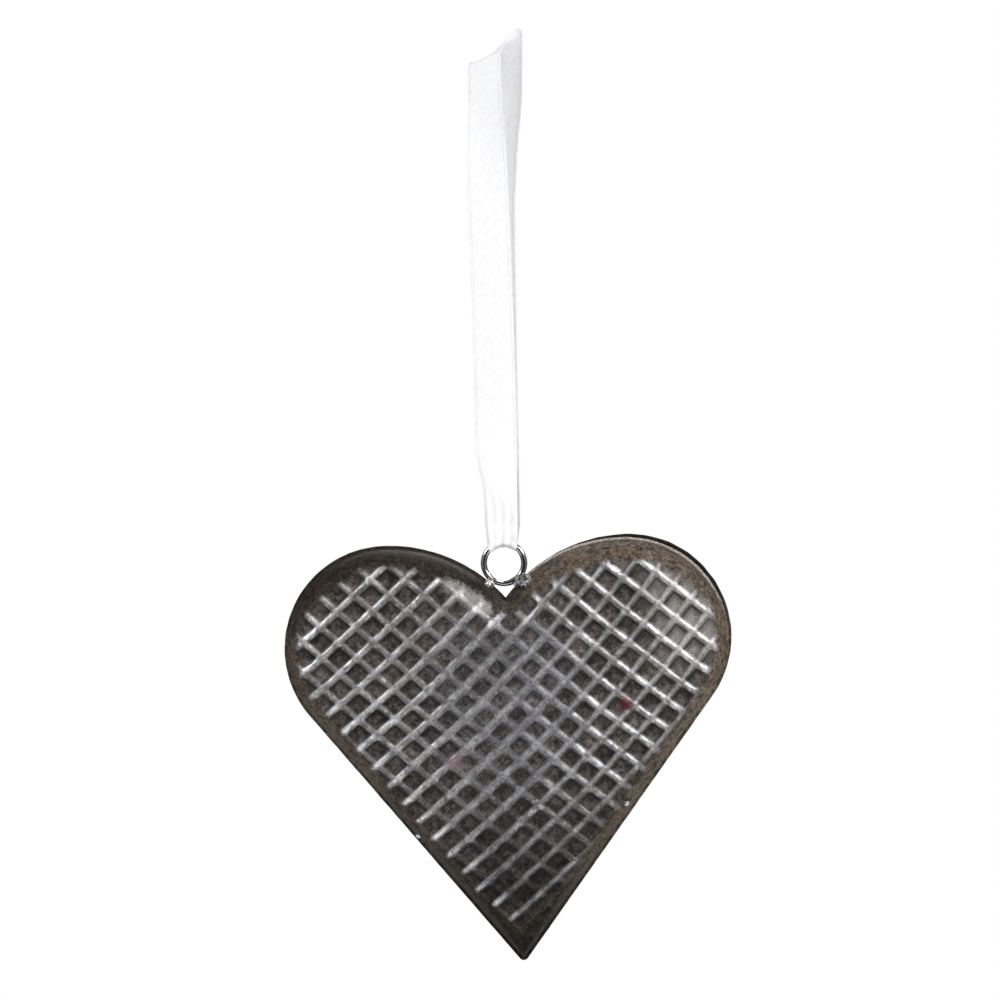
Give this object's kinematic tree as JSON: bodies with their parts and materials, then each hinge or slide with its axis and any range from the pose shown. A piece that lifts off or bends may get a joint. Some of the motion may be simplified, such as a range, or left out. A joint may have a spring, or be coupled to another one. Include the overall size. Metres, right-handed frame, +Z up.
{
  "type": "hanging tin heart ornament",
  "caption": "Heart of two waffle-pressed tin half shells with a wire ring soldered in its cleft, hung on a loop of white satin ribbon.",
  "frame": {"origin": "underside of the ribbon's top bight, where it rests on a hook", "axes": "+Z up along the ribbon, -Y the front face of the heart, +X to the right seen from the front"},
  "size_m": [0.1065, 0.0192, 0.222],
  "materials": {
    "aged_tin": "dark aged tin, worn to a silvery grey on the ribs",
    "steel_wire": "smooth drawn wire",
    "solder": "lumpy tin solder",
    "white_satin": "satin ribbon with woven edges",
    "thread": "fine sewing thread"
  },
  "bodies": {
    "ribbon_top": {"ribbon_bight": "white_satin"},
    "ribbon_strands": {"ribbon_front_strand": "white_satin", "ribbon_back_strand": "white_satin", "ribbon_lap": "white_satin", "ribbon_stitches": "thread"},
    "ribbon_turn": {"ribbon_saddle": "white_satin"},
    "heart": {"front_shell": "aged_tin", "back_shell": "aged_tin", "hanger_ring": "steel_wire", "ring_solder_left": "solder", "ring_solder_right": "solder", "seam_tack_left": "solder", "seam_tack_right": "solder"}
  },
  "joints": [
    {"name": "ribbon_twist", "type": "hinge", "parent": "ribbon_top", "child": "ribbon_strands", "pos_m": [0, 0, -0.01115], "axis": [0, 0, 1], "range_deg": [-180, 180]},
    {"name": "ribbon_fold", "type": "hinge", "parent": "ribbon_strands", "child": "ribbon_turn", "pos_m": [0, 0, -0.1141], "axis": [1, 0, 0], "range_deg": [-90, 90]},
    {"name": "heart_tilt", "type": "hinge", "parent": "ribbon_turn", "child": "heart", "pos_m": [0, 0, -0.1231], "axis": [0, 1, 0], "range_deg": [-55, 55]}
  ]
}
